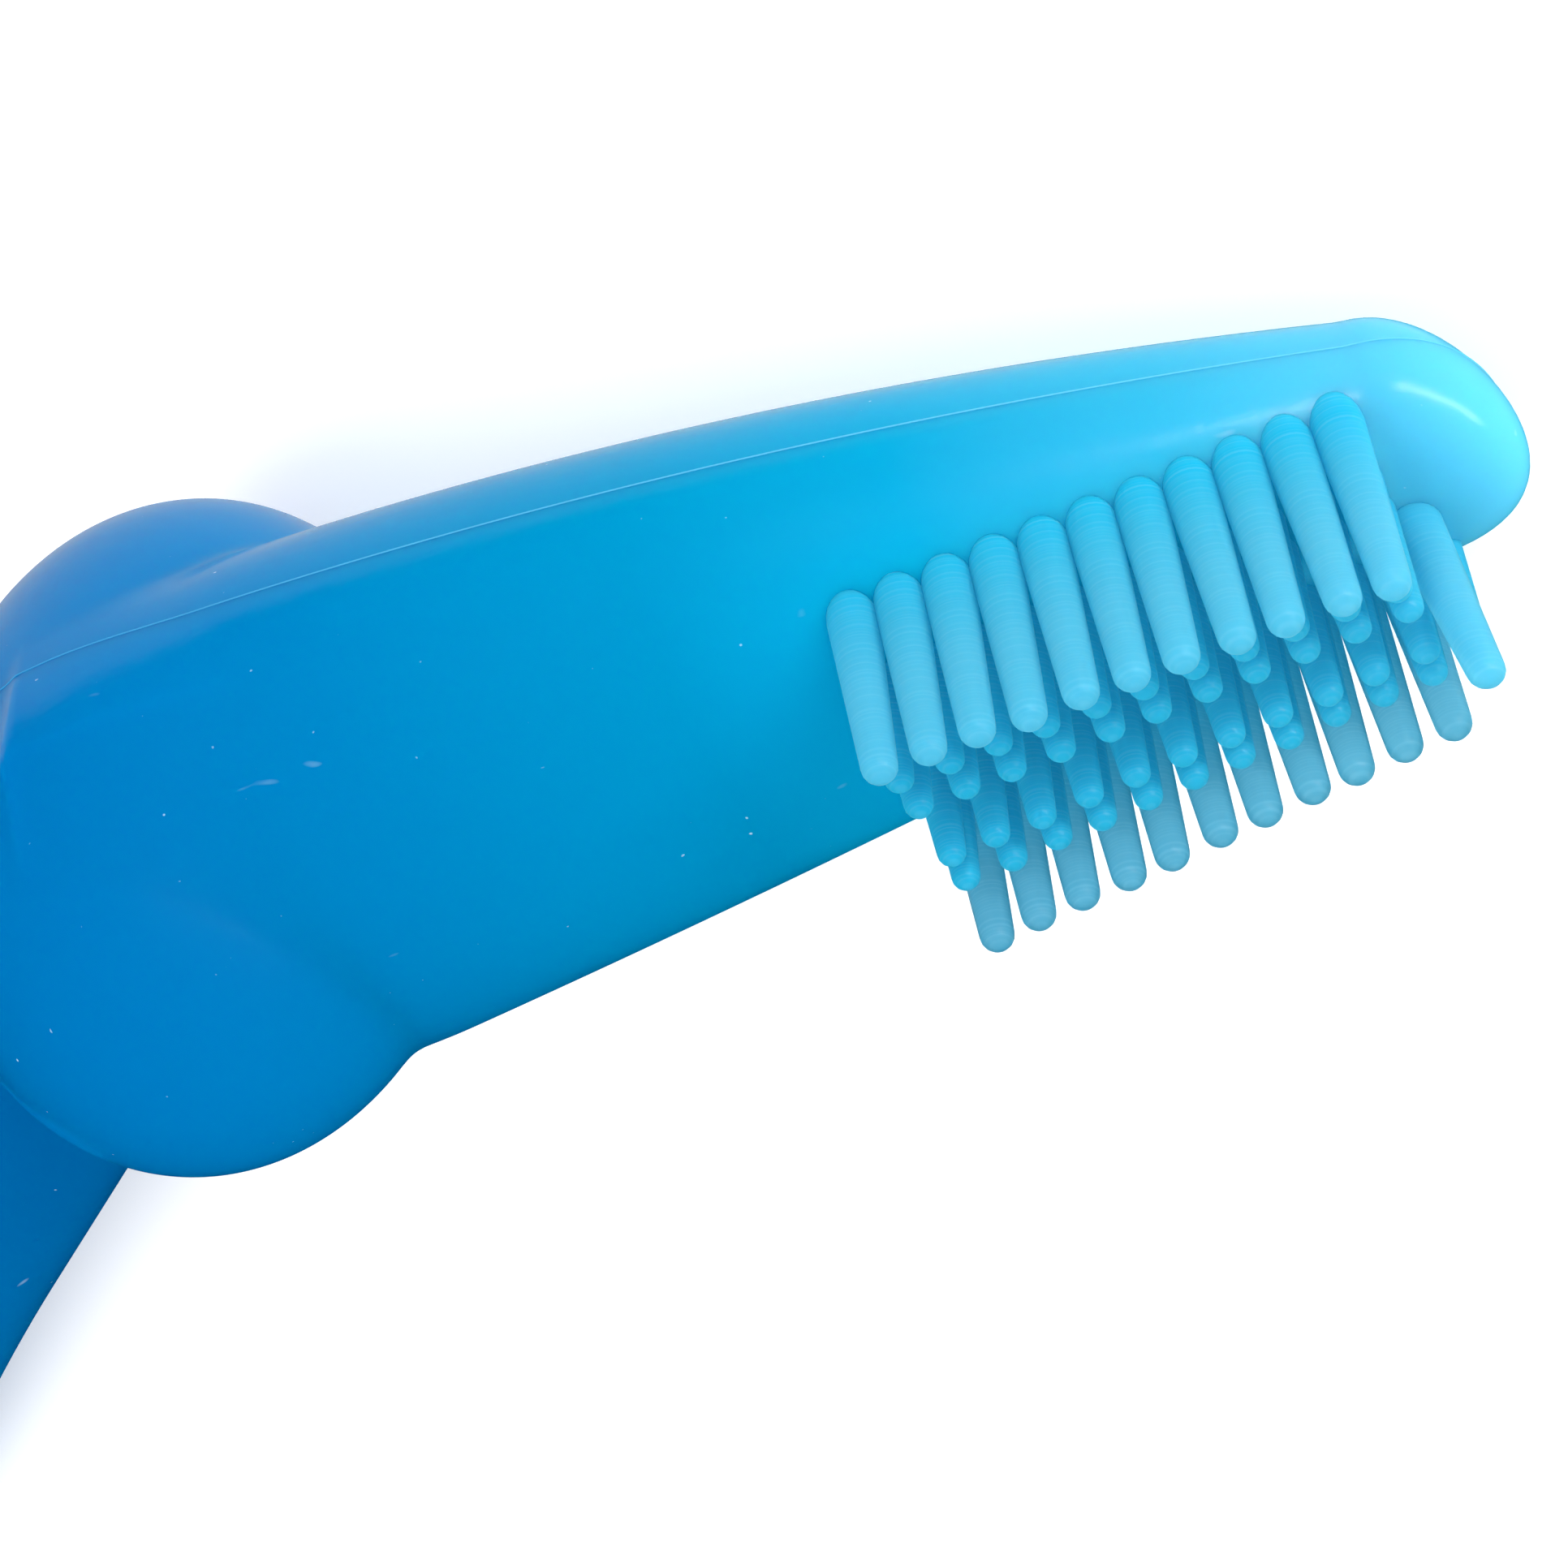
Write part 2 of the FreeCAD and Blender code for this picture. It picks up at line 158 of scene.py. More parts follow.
# --- fields: about the distance to a surface, negative inside it ----------------------------------


def rounded_max(first, second, reach):
    """Larger of two fields, with the edge where they cross rounded over about reach."""
    mix = np.maximum(reach - np.abs(first - second), 0) / reach
    return np.maximum(first, second) + mix ** 2 * reach / 4


def rounded_min(first, second, reach):
    return -rounded_max(-first, -second, reach)


def ellipse_field(parts, radii):
    """Field of an ellipse or ellipsoid from coordinates along its axes and its half axes."""
    near = np.sqrt(sum((part / radius) ** 2 for part, radius in zip(parts, radii)))
    slope = np.sqrt(sum((part / radius ** 2) ** 2 for part, radius in zip(parts, radii)))
    return near * (near - 1) / np.maximum(slope, 1e-6)


def arm_level(x):
    share = np.clip((x - TIP_START) / TIP_LENGTH, 0, 1)
    return ARM_BOW * np.clip(x, 0, ARM_LENGTH) ** 2 + TIP_RISE * share ** 2


def arm_radius(x):
    """Half height of the arm, before its rounded tip; its root is drawn in a little."""
    x = np.clip(x, 0, TIP_START)
    root = 1 - ROOT_NARROWING * np.clip(1 - x / NARROWING_LENGTH, 0, 1) ** 2
    return (ARM_ROOT_RADIUS - ARM_TAPER * x - ARM_CURVE * x ** 2) * root


def arm_field(x, y, z, inset=0.0):
    high = arm_radius(x) - inset
    beyond = np.maximum(x - TIP_START, 0)
    parts = (y, z - arm_level(x), beyond)
    shape = ellipse_field(parts, (ARM_WIDENING * high, high, TIP_LENGTH))
    return np.maximum(shape, -x)


def hub_field(x, y, z):
    return ellipse_field((x, y, z - PIVOT_LEVEL), (HUB_RADIUS, HUB_RADIUS, HUB_HALF_HEIGHT))


def head_outline(points):
    """Arm and hub as one body: a wide blend on the near flank, a tight one elsewhere."""
    x, y, z = points.T
    near_side = np.clip((y + 3.0) / 9.0, 0, 1)
    flank = np.clip(1 - np.abs(z - FLANK_LEVEL) / FLANK_HALF, 0, 1) * near_side
    reach = FILLET + (WIDE_FILLET - FILLET) * flank
    return rounded_min(arm_field(x, y, z), hub_field(x, y, z), reach)


def slot_field(points):
    """Space the neck sweeps between its stops: a rounded wedge from the pivot outwards."""
    x, y, z = points.T
    angle = np.degrees(np.arctan2(y, x)) % 360
    reach = np.hypot(x, y)
    low, high = 180.0, 180.0 + HANDLE_BEND + HANDLE_TRAVEL
    beside = []
    for stop in (low, high):
        dx, dy = math.cos(math.radians(stop)), math.sin(math.radians(stop))
        along = np.maximum(x * dx + y * dy, 0)
        beside.append(np.hypot(x - along * dx, y - along * dy))
    aside = np.where((angle >= low) & (angle <= high) & (reach > 0), 0, np.minimum(*beside))
    across = aside - SLOT_HALF + SLOT_CORNER
    upward = np.abs(z - PIVOT_LEVEL) - SLOT_HALF + SLOT_CORNER
    corner = np.hypot(np.maximum(across, 0), np.maximum(upward, 0))
    return corner + np.minimum(np.maximum(across, upward), 0) - SLOT_CORNER


def post_field(points, radius, low, high):
    """Upright cylinder on the pivot axis between two levels."""
    x, y, z = points.T
    level = z - PIVOT_LEVEL
    return np.maximum(np.hypot(x, y) - radius, np.maximum(low - level, level - high))


def box_field(points, low, high):
    middle = (np.array(low) + np.array(high)) / 2
    half = (np.array(high) - np.array(low)) / 2
    return np.max(np.abs(points - middle) - half, axis=1)


def head_field(points):
    """Whole skin of the head: outline with the neck's slot, and room for the parts inside."""
    x, y, z = points.T
    skin = rounded_max(head_outline(points), -slot_field(points), SLOT_EDGE)
    bar_ends = np.maximum(CORE_START - x, x - CORE_END)
    bar = np.maximum(arm_field(x, y, z, SKIN - CORE_GAP), bar_ends)
    web_low = (0, -WEB_HALF_WIDTH, PIVOT_LEVEL - EAR_HALF)
    web_high = (WEB_REACH, WEB_HALF_WIDTH, PIVOT_LEVEL + EAR_HALF)
    hub_limit = post_field(points, HUB_RADIUS - CORE_COVER + CORE_GAP, -FAR, FAR)
    limit = np.minimum(arm_field(x, y, z, CORE_COVER - CORE_GAP), hub_limit)
    hollows = (
        post_field(points, DRUM_SPACE_RADIUS, -DRUM_SPACE_HALF, DRUM_SPACE_HALF),
        post_field(points, EAR_RADIUS, -EAR_HALF, EAR_HALF),
        post_field(points, CLIP_POCKET_RADIUS, 0.0, EAR_HALF + 2.0),
        bar,
        np.maximum(box_field(points, web_low, web_high), limit),
    )
    for hollow in hollows:
        skin = np.maximum(skin, -hollow)
    plug_hole = post_field(points, PLUG_RADIUS + 0.12, -FAR, 0.0)
    return rounded_max(skin, -plug_hole, 0.5)


def swell_table():
    """Half thickness of the handle from its neck through the grip to its round end."""
    places = [0.0, NECK_END, 56.0, 66.0, 76.0, GRIP_DISTANCE, 95.0, 103.0, 108.0, 111.5]
    radii = [NECK_RADIUS, NECK_RADIUS, 6.72, 7.24, 7.86, GRIP_RADIUS, 8.02, 7.56, 7.13, 6.72]
    return places, radii


def handle_radius(distance):
    """Smooth curve through the handle's table of half thicknesses."""
    places, radii = swell_table()
    soft = np.zeros_like(distance)
    shifts = np.linspace(-3.0, 3.0, 13)
    for shift in shifts:
        soft += np.interp(distance + shift, places, radii)
    return soft / len(shifts)


def handle_outline(points):
    """Handle in its own frame: distance from the pivot, sideways, level from the pivot's middle."""
    distance, aside, level = points.T
    radius = handle_radius(np.minimum(distance, END_START))
    beyond = np.maximum(distance - END_START, 0)
    half_axes = (radius, radius, HANDLE_END - END_START)
    round_part = ellipse_field((aside, level, beyond), half_axes)
    share = np.clip((distance - PADDLE_START) / PADDLE_RUN, 0, 1)
    flat_half = PADDLE_HALF + PADDLE_DROP * (1 - share) ** 1.6
    flat = (np.abs(level) - flat_half) * 0.93
    return rounded_max(round_part, flat, 1.8)


def handle_field(points):
    distance, aside, level = points.T
    ring = np.hypot(distance - HANG_DISTANCE, aside)
    skin = rounded_max(handle_outline(points), EYELET_RADIUS + 0.05 - ring, 0.6)
    drum = DRUM_RADIUS + 0.02 - np.hypot(distance, aside)
    rod = np.maximum(np.hypot(aside, level) - ROD_RADIUS - 0.02, distance - ROD_END)
    return np.maximum(np.maximum(skin, drum), -rod)


# --- meshes ---------------------------------------------------------------------------------------


def slopes(field, points):
    step = 0.02
    parts = []
    for axis in range(3):
        shift = np.zeros(3)
        shift[axis] = step
        parts.append((field(points + shift) - field(points - shift)) / (2 * step))
    return np.stack(parts, axis=1)


def settle(field, points, rounds):
    """Moves points onto the surface where field is zero."""
    for _ in range(rounds):
        slope = slopes(field, points)
        size = np.maximum((slope ** 2).sum(axis=1), 0.05)
        move = -(field(points) / size)[:, None] * slope
        length = np.maximum(np.linalg.norm(move, axis=1, keepdims=True), 1e-9)
        points = points + move * np.minimum(1, 0.4 / length)
    return points


def evened(points, quads):
    """Points drawn halfway to the average of their neighbours."""
    total = np.zeros_like(points)
    count = np.zeros(len(points))
    for corner in range(4):
        for neighbour in (quads[:, (corner + 1) % 4], quads[:, (corner + 3) % 4]):
            np.add.at(total, quads[:, corner], points[neighbour])
            np.add.at(count, quads[:, corner], 1)
    return 0.5 * points + 0.5 * total / np.maximum(count, 1)[:, None]


def surface_net(field, low, high, step):
    """Closed mesh of quads lying on the surface where field is zero."""
    axes = [np.arange(low[k], high[k] + step, step) for k in range(3)]
    grid = np.stack(np.meshgrid(*axes, indexing="ij"), axis=-1)
    inside = (field(grid.reshape(-1, 3)) < 0).reshape(grid.shape[:3])
    cells = tuple(n - 1 for n in inside.shape)
    filled = np.zeros(cells, int)
    for a, b, c in product((0, 1), repeat=3):
        filled += inside[a:a + cells[0], b:b + cells[1], c:c + cells[2]]
    mixed = (filled > 0) & (filled < 8)
    number = np.full(cells, -1)
    number[mixed] = np.arange(mixed.sum())
    points = np.array(low) + step * (np.argwhere(mixed) + 0.5)

    quads = []
    for axis in range(3):
        first_side, second_side = (axis + 1) % 3, (axis + 2) % 3
        here = np.take(inside, range(cells[axis]), axis)
        beyond = np.take(inside, range(1, cells[axis] + 1), axis)
        places = np.argwhere(here != beyond)
        corners = []
        for back_first, back_second in ((1, 1), (0, 1), (0, 0), (1, 0)):
            cell = places.copy()
            cell[:, first_side] -= back_first
            cell[:, second_side] -= back_second
            corners.append(number[tuple(cell.T)])
        quad = np.stack(corners, axis=1)
        leaving = here[tuple(places.T)]
        quad[~leaving] = quad[~leaving][:, ::-1]
        quads.append(quad)
    quads = np.concatenate(quads)

    points = settle(field, points, 5)
    for _ in range(3):
        points = settle(field, evened(points, quads), 2)
    return settle(field, points, 2), quads.tolist()


def piece(name, points, faces, material, body, stands_for=()):
    """Smooth mesh object from brush-frame points, riding on a body."""
    mesh = bpy.data.meshes.new(name)
    mesh.from_pydata(lay_down(points).tolist(), [], faces)
    mesh.update()
    mesh.validate()
    for polygon in mesh.polygons:
        polygon.use_smooth = True
    thing = bpy.data.objects.new(name, mesh)
    bpy.context.scene.collection.objects.link(thing)
    thing.data.materials.append(material)
    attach(thing, body)
    if stands_for:
        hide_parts(*stands_for)
    return thing


def turned(profile, segments):
    """Closed body turned about Z from (radius, level) pairs, the first and last on the axis."""
    points = [(0.0, 0.0, profile[0][1])]
    for radius, level in profile[1:-1]:
        for number in range(segments):
            angle = 2 * math.pi * number / segments
            points.append((radius * math.cos(angle), radius * math.sin(angle), level))
    points.append((0.0, 0.0, profile[-1][1]))
    faces = []
    rings = len(profile) - 2
    for number in range(segments):
        after = (number + 1) % segments
        faces.append((0, 1 + after, 1 + number))
        for ring in range(rings - 1):
            low = 1 + ring * segments
            high = low + segments
            faces.append((low + number, low + after, high + after, high + number))
        top = 1 + (rings - 1) * segments
        faces.append((top + number, top + after, len(points) - 1))
    return np.array(points), faces


def turned_ring(profile, segments):
    """Points and faces of a ring turned about Z from a closed loop of (radius, level) pairs."""
    points = []
    for radius, level in profile:
        for number in range(segments):
            angle = 2 * math.pi * number / segments
            points.append((radius * math.cos(angle), radius * math.sin(angle), level))
    faces = []
    for ring in range(len(profile)):
        low = ring * segments
        high = (ring + 1) % len(profile) * segments
        for number in range(segments):
            after = (number + 1) % segments
            faces.append((low + number, low + after, high + after, high + number))
    return np.array(points), faces


def bead(line, radius, closed, segments=8):
    """Thin round bead along a line of points, tapering to nothing at open ends."""
    line = np.array(line)
    count = len(line)
    points, faces = [], []
    for number in range(count):
        ahead = line[(number + 1) % count] if closed or number < count - 1 else line[number]
        behind = line[number - 1] if closed or number > 0 else line[number]
        along = (ahead - behind) / np.linalg.norm(ahead - behind)
        side = np.cross(along, (0, 0, 1.0))
        side /= np.linalg.norm(side)
        up = np.cross(side, along)
        thick = radius
        if not closed:
            thick *= min(1.0, 0.1 + min(number, count - 1 - number) / 8)
        for step in range(segments):
            angle = 2 * math.pi * step / segments
            points.append(line[number] + thick * (math.cos(angle) * side + math.sin(angle) * up))
    rings = count if closed else count - 1
    for number in range(rings):
        low = number * segments
        high = (number + 1) % count * segments
        for step in range(segments):
            after = (step + 1) % segments
            faces.append((low + step, low + after, high + after, high + step))
    if not closed:
        faces.append(tuple(range(segments))[::-1])
        faces.append(tuple(range((count - 1) * segments, count * segments)))
    return np.array(points), faces


# --- materials ------------------------------------------------------------------------------------


class Shader:
    """Node material with one Principled shader."""

    def __init__(self, name):
        self.material = bpy.data.materials.new(name)
        self.material.use_nodes = True
        self.tree = self.material.node_tree
        self.shader = self.tree.nodes["Principled BSDF"]
        self.place = self.tree.nodes.new("ShaderNodeTexCoord").outputs["Object"]

    def node(self, kind, **settings):
        made = self.tree.nodes.new(kind)
        for key, value in settings.items():
            setattr(made, key, value)
        return made

    def link(self, source, target):
        self.tree.links.new(source, target)

    def set(self, **sockets):
        for key, value in sockets.items():
            self.shader.inputs[key.replace("_", " ")].default_value = value

    def noise(self, scale, detail=2.0, stretch=None):
        """Noise over the object, scale in waves per metre."""
        source = self.place
        if stretch:
            mapping = self.node("ShaderNodeMapping")
            mapping.inputs["Scale"].default_value = stretch[0]
            mapping.inputs["Rotation"].default_value = stretch[1]
            self.link(source, mapping.inputs["Vector"])
            source = mapping.outputs["Vector"]
        made = self.node("ShaderNodeTexNoise")
        made.inputs["Scale"].default_value = scale
        made.inputs["Detail"].default_value = detail
        self.link(source, made.inputs["Vector"])
        return made.outputs["Fac"]

    def rings(self, scale):
        """Uneven rings across the bristles, scale in rings per metre."""
        dot = self.node("ShaderNodeVectorMath", operation="DOT_PRODUCT")
        dot.inputs[1].default_value = brush_axis((0, 0, 1))
        self.link(self.place, dot.inputs[0])
        made = self.node("ShaderNodeTexNoise", noise_dimensions="1D")
        made.inputs["Scale"].default_value = scale
        made.inputs["Detail"].default_value = 1.0
        self.link(dot.outputs["Value"], made.inputs["W"])
        return made.outputs["Fac"]

    def along(self, direction, start, stop):
        """0 to 1 between two distances in mm along a brush-frame direction."""
        axis = brush_axis(direction)
        offset = Vector(axis).dot(REST.translation) / 1000.0
        dot = self.node("ShaderNodeVectorMath", operation="DOT_PRODUCT")
        dot.inputs[1].default_value = axis
        self.link(self.place, dot.inputs[0])
        low, high = start / 1000.0 + offset, stop / 1000.0 + offset
        return self.ranged(dot.outputs["Value"], low, high, 0.0, 1.0)

    def ranged(self, source, low, high, first, last):
        made = self.node("ShaderNodeMapRange", clamp=True)
        limits = (("From Min", low), ("From Max", high), ("To Min", first), ("To Max", last))
        for key, value in limits:
            made.inputs[key].default_value = value
        self.link(source, made.inputs["Value"])
        return made.outputs["Result"]

    def ramp(self, source, stops):
        made = self.node("ShaderNodeValToRGB")
        points = made.color_ramp.elements
        while len(points) < len(stops):
            points.new(0.5)
        for point, (place, colour) in zip(points, stops):
            point.position = place
            point.color = (*colour, 1.0)
        self.link(source, made.inputs["Fac"])
        return made.outputs["Color"]

    def mixed(self, share, first, second):
        """Mix of two colours; share is a number or a socket, each colour a triple or a socket."""
        made = self.node("ShaderNodeMix", data_type="RGBA")
        for key, value in ((0, share), (6, first), (7, second)):
            if isinstance(value, bpy.types.NodeSocket):
                self.link(value, made.inputs[key])
            else:
                made.inputs[key].default_value = value if key == 0 else (*value, 1.0)
        return made.outputs[2]

    def bump(self, height, strength, distance):
        made = self.node("ShaderNodeBump")
        made.inputs["Strength"].default_value = strength
        made.inputs["Distance"].default_value = distance
        self.link(height, made.inputs["Height"])
        if self.shader.inputs["Normal"].is_linked:
            self.link(self.shader.inputs["Normal"].links[0].from_socket, made.inputs["Normal"])
        self.link(made.outputs["Normal"], self.shader.inputs["Normal"])


def silicone_skin(name, direction, start, stop, stops, depth=1.0, painted_root_glow=False):
    """Translucent blue silicone, its colour running along a direction, with lint on it.

    The glow flag adds painted light round the bristle roots: an emission that stands in for the
    light the bristles spread in the skin there.
    """
    look = Shader(name)
    colour = look.ramp(look.along(direction, start, stop), stops)
    cloud = look.ranged(look.noise(38.0, 3.0), 0.3, 0.7, 0.0, 1.0)
    colour = look.mixed(cloud, colour, look.mixed(0.09, colour, (0.0, 0.12, 0.42)))
    lint = look.ranged(look.noise(1900.0, 1.0), 0.80, 0.86, 0.0, 0.55)
    colour = look.mixed(lint, colour, (0.72, 0.9, 0.97))
    strands = look.noise(420.0, 2.0, ((0.12, 1.0, 1.0), (0.3, 0.2, 0.5)))
    marks = look.ranged(strands, 0.735, 0.78, 0.0, 0.3)
    colour = look.mixed(marks, colour, (0.62, 0.86, 0.96))
    look.link(colour, look.shader.inputs["Base Color"])
    satin = look.ranged(look.noise(160.0, 4.0), 0.3, 0.7, 0.17, 0.24)
    look.link(satin, look.shader.inputs["Roughness"])
    look.set(
        Subsurface_Weight=depth,
        Subsurface_Radius=(0.25, 0.75, 1.0),
        Subsurface_Scale=0.0045,
        IOR=1.41,
        Specular_IOR_Level=0.3,
    )
    # Painted light: an emission on the skin round the bristle roots, growing from nothing over 4 to
    # 9 mm up and 32 to 44 mm along the arm.
    if painted_root_glow:
        glow = look.mixed(look.along((0, 0, 1), 4.0, 9.0), (0.0, 0.0, 0.0), PAINTED_ROOT_GLOW)
        glow = look.mixed(look.along((1, 0, 0), 32.0, 44.0), (0.0, 0.0, 0.0), glow)
        look.link(glow, look.shader.inputs["Emission Color"])
        look.set(Emission_Strength=1.0)
    look.bump(look.noise(900.0, 3.0), 0.10, 0.0002)
    look.bump(look.noise(60.0, 2.0), 0.12, 0.0012)
    return look.material


def bristle_silicone(name, root, tip, clearness):
    """Clearer silicone of the bristles: the skin's blue at the root, paler at the tip."""
    look = Shader(name)
    skin = look.ramp(look.along((1, 0, 0), HUB_END, ARM_END), HEAD_COLOURS)
    upper = look.mixed(0.75, skin, root)
    paler = look.mixed(0.35, tip, skin)
    colour = look.mixed(look.along((0, 0, 1), 8.0, 15.0), upper, paler)
    rings = look.rings(6000.0)
    frost = look.ranged(rings, 0.45, 0.8, 0.0, 0.10)
    colour = look.mixed(frost, colour, (0.55, 0.88, 0.97))
    look.link(colour, look.shader.inputs["Base Color"])
    satin = look.ranged(look.noise(160.0, 1.0), 0.3, 0.7, 0.28, 0.36)
    look.link(satin, look.shader.inputs["Roughness"])
    clear = look.ranged(look.along((0, 0, 1), 5.0, 14.0), 0.0, 1.0, 0.3, clearness)
    look.link(clear, look.shader.inputs["Transmission Weight"])
    # The emission is painted light: a faint glow through every bristle that stands in for light
    # scattered through them and lifts the shade between them.
    look.set(
        IOR=1.22,
        Specular_IOR_Level=0.6,
        Subsurface_Weight=1.0,
        Subsurface_Radius=(0.5, 0.9, 1.0),
        Subsurface_Scale=0.001,
        Emission_Color=(0.03, 0.45, 0.62, 1.0),
        Emission_Strength=0.16,
    )
    look.bump(rings, 0.12, 0.00002)
    return look.material


def rigid(name, first, second, roughness, metallic=0.0, grain=700.0):
    """Moulded plastic, rubber or steel with uneven colour and a fine grain."""
    look = Shader(name)
    colour = look.mixed(look.ranged(look.noise(90.0, 3.0), 0.3, 0.7, 0.0, 1.0), first, second)
    look.link(colour, look.shader.inputs["Base Color"])
    low, high = roughness
    uneven = look.ranged(look.noise(260.0, 3.0), 0.3, 0.7, low, high)
    look.link(uneven, look.shader.inputs["Roughness"])
    look.set(Metallic=metallic)
    look.bump(look.noise(grain, 3.0), 0.15, 0.00015)
    return look.material


# Colour of the painted glow on the skin round the bristle roots.
PAINTED_ROOT_GLOW = (0.0, 0.07, 0.10)
HUB_END = -16.0
ARM_END = 73.0
# Colour of the head skin from hub to tip, also used at the bristle roots: deep blue at the hub,
# paler cyan at the tip; partly the silicone's depth, partly painted shade at the hub and painted
# light at the tip.
HEAD_COLOURS = (
    (0.0, (0.0, 0.120, 0.345)),
    (0.18, (0.0, 0.150, 0.380)),
    (0.35, (0.0, 0.185, 0.410)),
    (0.54, (0.0, 0.245, 0.445)),
    (0.69, (0.002, 0.315, 0.520)),
    (0.83, (0.030, 0.385, 0.580)),
    (1.0, (0.115, 0.510, 0.690)),
)
# Colour of the handle skin from the neck to its end: darker near the neck, partly the silicone's
# own tone, partly painted shade where the handle lies under the head.
HANDLE_COLOURS = (
    (0.0, (0.0, 0.098, 0.295)),
    (0.5, (0.0, 0.140, 0.360)),
    (1.0, (0.010, 0.250, 0.480)),
)
SEAM_COLOURS = ((0.0, (0.01, 0.19, 0.46)), (1.0, (0.12, 0.56, 0.76)))
handle_turn = math.radians(180 + HANDLE_BEND)
handle_way = (math.cos(handle_turn), math.sin(handle_turn), 0)

head_skin_look = silicone_skin(
    "head_silicone", (1, 0, 0), HUB_END, ARM_END, HEAD_COLOURS, painted_root_glow=True)
handle_skin_look = silicone_skin(
    "handle_silicone", handle_way, 10.0, HANDLE_END, HANDLE_COLOURS)
seam_look = silicone_skin(
    "seam_silicone", (1, 0, 0), HUB_END, ARM_END, SEAM_COLOURS, depth=0.0)
outer_look = bristle_silicone(
    "outer_bristle_silicone", (0.0, 0.45, 0.66), (0.17, 0.58, 0.71), 0.5)
far_look = bristle_silicone(
    "far_bristle_silicone", (0.0, 0.34, 0.55), (0.16, 0.34, 0.42), 0.6)
inner_look = bristle_silicone(
    "inner_bristle_silicone", (0.0, 0.37, 0.60), (0.04, 0.50, 0.68), 0.5)

# --- head -----------------------------------------------------------------------------------------

head_points, head_faces = surface_net(
    head_field, (-17.0, -17.0, -25.0), (75.0, 17.0, 20.6), NET_STEP)
piece("head_skin", head_points, head_faces, head_skin_look, "head",
      ("head_skin_bristle_side", "head_skin_back"))


def seam_level(x):
    """Level of the bowed parting line: flat past the hub, then an arc up to the tip."""
    share = np.clip(x, 0, SEAM_LENGTH) / SEAM_LENGTH
    return SEAM_LEVEL + SEAM_RISE * share ** 2 + SEAM_BOW * share * (1 - share)


def edge_point(outline, centre, angle, reach, level):
    """Where a ray in the parting surface leaves the outline."""
    low, high = 0.0, 1.3
    for _ in range(40):
        share = (low + high) / 2
        x = centre + reach[0] * share * math.cos(angle)
        y = reach[1] * share * math.sin(angle)
        point = np.array([[x, y, level(x)]])
        if outline(point)[0] < 0:
            low = share
        else:
            high = share
    return point[0]


def head_seam():
    """Thin line of flash where the halves of the mould met, open across the neck's slot."""
    steps = 720
    line = []
    for number in range(steps):
        angle = 2 * math.pi * number / steps
        line.append(edge_point(head_outline, 28.5, angle, (46.0, 16.5), seam_level))
    line = np.array(line)
    solid = slot_field(line) > 0.9
    first = next(n for n in range(steps) if solid[n] and not solid[n - 1])
    kept = [line[(first + n) % steps] for n in range(steps) if solid[(first + n) % steps]]
    points, faces = bead(kept, SEAM_BEAD, False)
    piece("head_parting_line", points, faces, seam_look, "head")


head_seam()

# --- bristles -------------------------------------------------------------------------------------


def skin_heights(along, across):
    """Height of the arm's surface on the bristles' side."""
    beyond = np.clip((along - TIP_START) / TIP_LENGTH, 0, 1)
    radius = arm_radius(along) * np.sqrt(1 - beyond ** 2)
    sideways = across / ARM_WIDENING
    return arm_level(along) + np.sqrt(np.maximum(radius ** 2 - sideways ** 2, 0))


def bristle_mesh(along, across, top, radii, splay=0.0):
    """Tapered bristle with both ends rounded and the fine, uneven rings of its mould."""
    root_radius, tip_radius = radii
    root = float(skin_heights(along, across))
    shoulder = top - tip_radius
    profile = [(0.0, root - ROOT_DEPTH)]
    for angle in (12, 25, 38, 51, 64, 77):
        turn = math.radians(angle)
        profile.append((root_radius * math.sin(turn), root - ROOT_DEPTH * math.cos(turn)))
    rings = int((shoulder - root) / RING_SPACING)
    for number in range(rings + 1):
        level = root + (shoulder - root) * number / rings
        fade = min(1.0, (shoulder - level) / 2.0, (level - root) / 2.0)
        ripple = draw.uniform(-RIPPLE, RIPPLE) * fade
        narrowing = (root_radius - tip_radius) * number / rings
        profile.append((root_radius - narrowing + ripple, level))
    for angle in (18, 36, 54, 72):
        turn = math.radians(angle)
        profile.append((tip_radius * math.cos(turn), shoulder + tip_radius * math.sin(turn)))
    profile.append((0.0, top))
    points, faces = turned(profile, BRISTLE_SEGMENTS)
    lean = (draw.uniform(-LEAN, LEAN), draw.uniform(-LEAN, LEAN))
    height = points[:, 2] - root
    points[:, 0] += along + (lean[0] + splay) * height - splay * (top - root) / 2.0
    points[:, 1] += across + lean[1] * height
    return points, faces


def column_place(column, share):
    progress = column / (COLUMNS - 1)
    along = FIRST_COLUMN + PITCH * column
    across = share * (ROW_SPREAD - SPREAD_FALL * progress)
    return along, across, BRISTLE_LEVEL - LEVEL_FALL * progress


def bristle_row(name, node, places, radii, look, splay=0.0):
    """One row of bristles as one piece."""
    points, faces = [], []
    for along, across, top in places:
        mesh_points, mesh_faces = bristle_mesh(along, across, top, radii, splay)
        start = sum(len(part) for part in points)
        points.append(mesh_points)
        faces += [tuple(start + corner for corner in face) for face in mesh_faces]
    piece(name, np.concatenate(points), faces, look, "head", (node,))


